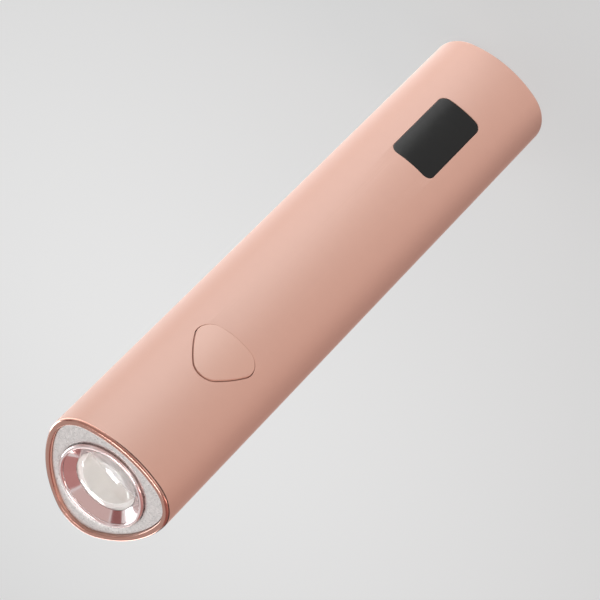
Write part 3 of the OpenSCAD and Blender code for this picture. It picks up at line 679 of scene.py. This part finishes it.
class NAILLAMP_OT_lens(bpy.types.Operator):
    """Makes the clear domed lens with its hidden flange"""
    bl_idname = "naillamp.lens"
    bl_label = "Lens"

    def execute(self, context):
        lamp = context.scene.lamp_sizes
        lens_r = lamp.mouth_r() - lamp.cone_w
        base = PLATE_HIGH.z - lamp.cone_h
        rise = LENS_HIGH.z - base
        globe_r = (lens_r ** 2 + rise ** 2) / (2 * rise)
        spread = math.asin(lens_r / globe_r)
        dome = [(globe_r * math.sin(a), LENS_HIGH.z - globe_r * (1 - math.cos(a)))
                for a in evenly(spread, DOME_STEPS)]
        flange_r, flange_top = lamp.sleeve_in() - lamp.lens_play, base - lamp.shelf
        profile = dome + [(lens_r, flange_top), (flange_r, flange_top), (flange_r, LENS_LOW.z),
                          (0, LENS_LOW.z)]
        bm = revolve(profile, (0, lamp.optic_y, 0), RING_STEPS)

        # Clear moulded PMMA: a faint haze, and a very slight orange peel from the mould
        material = blank_material("clear_PMMA")
        where = node(material, "ShaderNodeTexCoord").outputs["Object"]
        peel_grain, peel_bump = 1.2 * MM, 0.001 * MM
        peel = node(material, "ShaderNodeTexNoise", {"Vector": where, "Scale": 1 / peel_grain,
                                                     "Detail": 1.0})
        relief = node(material, "ShaderNodeBump", {"Height": peel.outputs["Fac"],
                                                   "Distance": peel_bump})
        clear = node(material, "ShaderNodeBsdfPrincipled", {
            "Base Color": srgb("#FBF9F8"), "Roughness": 0.04, "IOR": 1.49, "Transmission Weight": 0.8,
            "Normal": relief.outputs["Normal"]})
        # Light goes straight through the lens, as it nearly does in real PMMA, to the parts behind it
        passing = node(material, "ShaderNodeBsdfTransparent", {"Color": srgb("#D4D4D4")})
        path = node(material, "ShaderNodeLightPath")
        both = node(material, "ShaderNodeMixShader", {0: path.outputs["Is Shadow Ray"],
                                                      1: clear.outputs["BSDF"], 2: passing.outputs[0]})
        node(material, "ShaderNodeOutputMaterial", {"Surface": both.outputs[0]})
        finish_piece(bm, "domed_lens", "lamp", material, "lens")
        return {"FINISHED"}


class NAILLAMP_OT_inner_finishes(bpy.types.Operator):
    """Gives each piece that keeps its CAD shape the finish of its real material"""
    bl_idname = "naillamp.inner_finishes"
    bl_label = "Finishes of the inner pieces"

    def execute(self, context):
        colours = context.scene.lamp_colours
        metal, rubber = {"Metallic": 1.0}, {"Specular IOR Level": 0.35}
        # Dark and light colour, grain and bump in mm, roughness, further inputs, and the pieces
        finishes = {
            # Moulded ABS, the shell's colour without its lacquer: a plain, slightly shiny grain
            "moulded_pink_ABS": (shades(colours.shell, 0.04), 0.1, 0.003, (0.5, 0.6), {}, ["tail_cap"]),
            # Cast silicone: milky and soft, with a faint gloss
            "cast_silicone": ((srgb("#DCDCDA"), srgb("#EBEBE9")), 0.5, 0.002, (0.4, 0.5),
                              {"Subsurface Weight": 0.2, "Subsurface Scale": 0.5 * MM}, ["lens_gasket"]),
            # Moulded white polycarbonate: clean, slightly glossy
            "moulded_white_PC": ((srgb("#ECECEA"), srgb("#F4F4F2")), 0.3, 0.001, (0.35, 0.45), {},
                                 ["lens_spacer", "display_module", "battery_socket", "battery_plug"]),
            # Alumina package under a phosphor and a clear silicone dome: pale yellow and smooth
            "led_package_ceramic": ((srgb("#E6DCB4"), srgb("#F0E8C8")), 0.2, 0.001, (0.2, 0.3), {},
                                    ["led_emitter"]),
            # White solder mask on aluminium: smooth printed enamel
            "white_solder_mask": ((srgb("#E2E2DF"), srgb("#ECECEA")), 0.4, 0.001, (0.3, 0.4), {},
                                  ["led_board"]),
            # Nickel-plated stamped steel: bright with fine rolling marks
            "nickel_plated_steel": ((srgb("#B4B4B8"), srgb("#C8C8CC")), 0.2, 0.001, (0.22, 0.34), metal,
                                    ["led_screws", "switch_cover", "board_screws", "usb_shell"]),
            # Filled silicone pad: dull and slightly open in the surface
            "thermal_silicone": ((srgb("#8496AA"), srgb("#94A5B8")), 0.15, 0.004, (0.7, 0.8), rubber,
                                 ["thermal_pad"]),
            # Extruded aluminium, not anodised: dull silver with draw lines
            "extruded_aluminium": ((srgb("#ABAEB2"), srgb("#BEC1C4")), 0.3, 0.003, (0.35, 0.5), metal,
                                   ["heat_sink"]),
            # Extruded PVC insulation: a smooth waxy gloss
            "pvc_insulation": ((srgb("#A83530"), srgb("#B83E38")), 0.4, 0.001, (0.3, 0.4), {},
                               ["led_wires", "battery_wires"]),
            # Moulded glass-filled nylon and epoxy bodies: matt black with a fine grain
            "moulded_black_resin": ((srgb("#222225"), srgb("#303034")), 0.08, 0.003, (0.5, 0.65), {},
                                    ["switch_plunger", "tact_switch", "usb_tongue", "charger_chip",
                                     "controller_chip", "driver_chip", "resistors"]),
            # Adhesive foam tape: black and dead matt
            "adhesive_tape": ((srgb("#19191B"), srgb("#202023")), 0.1, 0.004, (0.8, 0.9), rubber,
                              ["window_tape"]),
            # Tin-plated pins and nickel tabs: soft silver
            "tin_plate": ((srgb("#C4C4BE"), srgb("#D4D4CF")), 0.2, 0.001, (0.3, 0.4), metal,
                          ["display_pins", "battery_tabs"]),
            # Moulded dark grey ABS: even and matt
            "moulded_grey_ABS": ((srgb("#38383B"), srgb("#434347")), 0.1, 0.003, (0.5, 0.6), {},
                                 ["chassis"]),
            # Glass-epoxy board under green solder mask: a glossy film over a faint weave
            "green_solder_mask": ((srgb("#2A6245"), srgb("#337452")), 0.3, 0.002, (0.25, 0.35), {},
                                  ["main_board"]),
            # Pressed ferrite: dark, hard and slightly rough
            "pressed_ferrite": ((srgb("#424244"), srgb("#505053")), 0.08, 0.005, (0.55, 0.7), {},
                                ["driver_inductor"]),
            # Fired ceramic capacitor body: tan and matt
            "fired_ceramic": ((srgb("#AC9068"), srgb("#BEA37C")), 0.1, 0.002, (0.5, 0.6), {},
                              ["capacitors"]),
            # Heat-shrunk PVC sleeve over a steel can: glossy with faint ripples
            "shrink_sleeve": ((srgb("#53759E"), srgb("#6388B2")), 1.5, 0.01, (0.25, 0.35), {},
                              ["battery_cell"]),
            # Vulcanised fibre washer: pale, dry and fibrous
            "fish_paper": ((srgb("#DFDAC6"), srgb("#EEEAD9")), 0.15, 0.006, (0.8, 0.9), {},
                           ["cell_insulator"]),
            # Closed-cell EVA foam: black and dry with small open cells on the cut face
            "eva_foam": ((srgb("#252527"), srgb("#323235")), 0.25, 0.02, (0.85, 0.95), rubber,
                         ["battery_foam"]),
        }
        for name, (pair, grain, bump, rough, shader, nodes) in finishes.items():
            material = grained(name, *pair, grain * MM, bump * MM, rough, shader)
            for cad_name in nodes:
                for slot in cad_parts[cad_name].material_slots:
                    slot.material = material
        return {"FINISHED"}


# Stage, in metres. A strength of 1 is white, for a glow that is seen and for matt paper under a lamp

AIM = Vector((0, 0, 70)) * MM
LAMP_AWAY = 0.8
CARD_AWAY = 0.5
# Name, direction, width, height, strength and tint
LAMPS = (("low_softbox", (0.42, -0.76, -0.48), 0.36, 0.36, 0.91, "#F9FAF9"),
         ("side_softbox", (0.74, 0.65, 0.19), 0.4, 0.4, 0.59, "#E4FAFF"),
         ("front_softbox", (-0.14, -0.77, 0.62), 0.6, 0.6, 0.18, "#FFFFFF"),
         ("fill_softbox", (-0.88, -0.08, 0.46), 0.4, 0.4, 0.45, "#FFDED3"),
         ("back_softbox", (-0.15, 0.98, -0.1), 0.5, 0.5, 0.8, "#FFFFFF"),
         ("top_softbox", (0.05, 0.15, 0.98), 0.5, 0.1, 0.36, "#FFFFFF"))
# Name, direction, half width and tint
CARDS = (("rose_card", (-0.75, 0.3, 0.55), 0.32, "#C2928F"),
         ("cream_card", (0.25, -0.5, 0.83), 0.33, "#D9C6C2"),
         ("plum_card", (0.76, 0.14, 0.64), 0.09, "#9A6A68"))

FLOOR_HALF = 20
# Middle of the painted pool of light on the floor, and the distance at which its painted fall-off
# reaches the outer grey
FLOOR_PAINTED_POOL_MIDDLE = (0.028, 0.125, 0)
FLOOR_PAINTED_FALLOFF = 0.19
# Glow that the camera sees, that lights matt surfaces, and that is reflected: towards +X, and elsewhere
FLOOR_SEEN = 0.88
FLOOR_LIGHT = 0.32
FLOOR_GLOSS = 5.3
FLOOR_GLOSS_LOW = 0.15
# How far towards +X, as the cosine of the angle, the reflected glow begins to rise
FLOOR_GLOSS_FROM = 0.25
# Light of the world on matt surfaces, and what reflections and the lens show of it
WORLD_LIGHT = 0.16
WORLD_GLOSS = 0.95

CAMERA_LENS = 201.28
CAMERA_PLACE = Vector((-46.527, -457.480, 488.664)) * MM
CAMERA_TARGET = Vector((-1.528, 5.349, 68.0)) * MM
CAMERA_ROLL = math.radians(-135.538)


def square(name, half):
    """A flat square mesh that faces +Z."""
    bm = bmesh.new()
    bmesh.ops.create_grid(bm, x_segments=1, y_segments=1, size=half)
    mesh = bpy.data.meshes.new(name)
    bm.to_mesh(mesh)
    bm.free()
    return mesh


def hang(scene, name, data, way, distance):
    """Puts a lamp or a card at a distance from the aim, in the direction given, and turns it back."""
    offset = distance * Vector(way).normalized()
    hung = bpy.data.objects.new(name, data)
    hung.location = AIM + offset
    hung.rotation_euler = (-offset).to_track_quat("-Z", "Y").to_euler()
    scene.collection.objects.link(hung)
    return hung


class NAILLAMP_OT_stage(bpy.types.Operator):
    """Sets the pale floor, the soft studio light, the cards for the chrome and the camera"""
    bl_idname = "naillamp.stage"
    bl_label = "Stage"

    def lay_floor(self, scene, colours):
        mesh = square("studio_floor", FLOOR_HALF)
        floor = bpy.data.objects.new("studio_floor", mesh)
        scene.collection.objects.link(floor)
        floor.visible_shadow = False

        # Seamless paper: a matt pale grey, with a painted pool of light that is brightest beside the
        # lamp and falls off to a darker grey further out. The camera sees its glow at one even strength,
        # also through the lens. Matt surfaces get its soft glow, and reflections show it bright towards
        # +X
        material = blank_material("seamless_paper_with_painted_pool")
        where = node(material, "ShaderNodeTexCoord").outputs["Object"]
        away = node(material, "ShaderNodeVectorMath", {0: where, 1: FLOOR_PAINTED_POOL_MIDDLE},
                    operation="DISTANCE")
        painted_falloff_mask = node(material, "ShaderNodeMapRange", {"Value": away.outputs["Value"],
                                                     "From Max": FLOOR_PAINTED_FALLOFF},
                    interpolation_type="SMOOTHSTEP")
        # Painted pool of light: the floor's grey darkens with the distance from the lamp
        painted_pool_tone = node(material, "ShaderNodeMix", {"Factor": painted_falloff_mask.outputs["Result"],
                                                 COLOUR_A: colours.floor,
                                                 COLOUR_B: colours.floor_painted_dim_grey}, data_type="RGBA")
        way = node(material, "ShaderNodeVectorMath", {0: where}, operation="NORMALIZE")
        side = node(material, "ShaderNodeSeparateXYZ", {"Vector": way.outputs["Vector"]})
        mirrored = node(material, "ShaderNodeMapRange", {"Value": side.outputs["X"],
                                                         "From Min": FLOOR_GLOSS_FROM,
                                                         "To Min": FLOOR_GLOSS_LOW,
                                                         "To Max": FLOOR_GLOSS})
        path = node(material, "ShaderNodeLightPath")
        unseen = node(material, "ShaderNodeMix", {"Factor": path.outputs["Is Glossy Ray"],
                                                  "A": FLOOR_LIGHT, "B": mirrored.outputs["Result"]},
                      data_type="FLOAT")
        seen = node(material, "ShaderNodeMath", {0: path.outputs["Is Camera Ray"],
                                                 1: path.outputs["Is Transmission Ray"]},
                    operation="MAXIMUM")
        level = node(material, "ShaderNodeMix", {"Factor": seen.outputs[0],
                                                 "A": unseen.outputs["Result"], "B": FLOOR_SEEN},
                     data_type="FLOAT")
        glow = node(material, "ShaderNodeEmission", {"Color": painted_pool_tone.outputs[MIXED],
                                                     "Strength": level.outputs["Result"]})
        matt = node(material, "ShaderNodeBsdfDiffuse", {"Color": srgb("#5A5A5A")})
        both = node(material, "ShaderNodeAddShader", {0: matt.outputs[0], 1: glow.outputs[0]})
        node(material, "ShaderNodeOutputMaterial", {"Surface": both.outputs[0]})
        mesh.materials.append(material)

    def light_world(self, scene):
        world = bpy.data.worlds.new("studio")
        scene.world = world
        world.use_nodes = True
        world.node_tree.nodes.clear()
        path = node(world, "ShaderNodeLightPath")
        shown = node(world, "ShaderNodeMath", {0: path.outputs["Is Glossy Ray"],
                                               1: path.outputs["Is Transmission Ray"]},
                     operation="MAXIMUM")
        level = node(world, "ShaderNodeMapRange", {"Value": shown.outputs[0], "To Min": WORLD_LIGHT,
                                                   "To Max": WORLD_GLOSS})
        sky = node(world, "ShaderNodeBackground", {"Color": srgb("#F2F2F2"),
                                                   "Strength": level.outputs["Result"]})
        node(world, "ShaderNodeOutputWorld", {"Surface": sky.outputs[0]})

    def hang_lamps(self, scene):
        for name, way, width, height, strength, tint in LAMPS:
            light = bpy.data.lights.new(name, "AREA")
            light.shape = "RECTANGLE"
            light.size, light.size_y = width, height
            light.color = srgb(tint)[:3]
            light.energy = strength * math.pi ** 2 * LAMP_AWAY ** 2
            hang(scene, name, light, way, LAMP_AWAY)

    def hang_cards(self, scene):
        """Cards that only reflections show, for the rose, cream and plum sides of the chrome."""
        for name, way, half, tint in CARDS:
            mesh = square(name, half)
            card = hang(scene, name, mesh, way, CARD_AWAY)
            card.visible_camera = card.visible_diffuse = False
            card.visible_shadow = card.visible_transmission = False
            material = blank_material(name)
            glow = node(material, "ShaderNodeEmission", {"Color": srgb(tint), "Strength": 1.0})
            node(material, "ShaderNodeOutputMaterial", {"Surface": glow.outputs[0]})
            mesh.materials.append(material)

    def set_camera(self, scene):
        camera = bpy.data.cameras.new("photo_camera")
        camera.lens = CAMERA_LENS
        camera.sensor_width = 36
        view = bpy.data.objects.new("photo_camera", camera)
        turn = (CAMERA_TARGET - CAMERA_PLACE).to_track_quat("-Z", "Y")
        turn = turn @ Quaternion((0, 0, 1), CAMERA_ROLL)
        view.matrix_world = Matrix.Translation(CAMERA_PLACE) @ turn.to_matrix().to_4x4()
        scene.collection.objects.link(view)
        scene.camera = view

    def execute(self, context):
        scene, colours = context.scene, context.scene.lamp_colours
        scene.view_settings.view_transform = "Standard"
        self.lay_floor(scene, colours)
        self.light_world(scene)
        self.hang_lamps(scene)
        self.hang_cards(scene)
        self.set_camera(scene)
        return {"FINISHED"}


STEPS = (NAILLAMP_OT_shell, NAILLAMP_OT_button, NAILLAMP_OT_window, NAILLAMP_OT_plate,
         NAILLAMP_OT_reflector, NAILLAMP_OT_lens, NAILLAMP_OT_inner_finishes, NAILLAMP_OT_stage)


class NAILLAMP_PT_panel(bpy.types.Panel):
    """Lists the lamp's pieces, sizes and colours"""
    bl_idname = "NAILLAMP_PT_panel"
    bl_label = "Nail lamp"
    bl_space_type = "VIEW_3D"
    bl_region_type = "UI"
    bl_category = "Nail lamp"

    def draw(self, context):
        layout = self.layout
        for step in STEPS:
            layout.operator(step.bl_idname)
        for group in (context.scene.lamp_sizes, context.scene.lamp_colours):
            box = layout.box()
            for name in group.__annotations__:
                box.prop(group, name)


CLASSES = (LampSizes, LampColours, *STEPS, NAILLAMP_PT_panel)


def register():
    for cls in CLASSES:
        bpy.utils.register_class(cls)
    bpy.types.Scene.lamp_sizes = bpy.props.PointerProperty(type=LampSizes)
    bpy.types.Scene.lamp_colours = bpy.props.PointerProperty(type=LampColours)


def unregister():
    del bpy.types.Scene.lamp_colours
    del bpy.types.Scene.lamp_sizes
    for cls in reversed(CLASSES):
        bpy.utils.unregister_class(cls)


def main():
    register()
    bpy.ops.naillamp.shell()
    bpy.ops.naillamp.button()
    bpy.ops.naillamp.window()
    bpy.ops.naillamp.plate()
    bpy.ops.naillamp.reflector()
    bpy.ops.naillamp.lens()
    bpy.ops.naillamp.inner_finishes()
    bpy.ops.naillamp.stage()


if __name__ == "__main__":
    main()
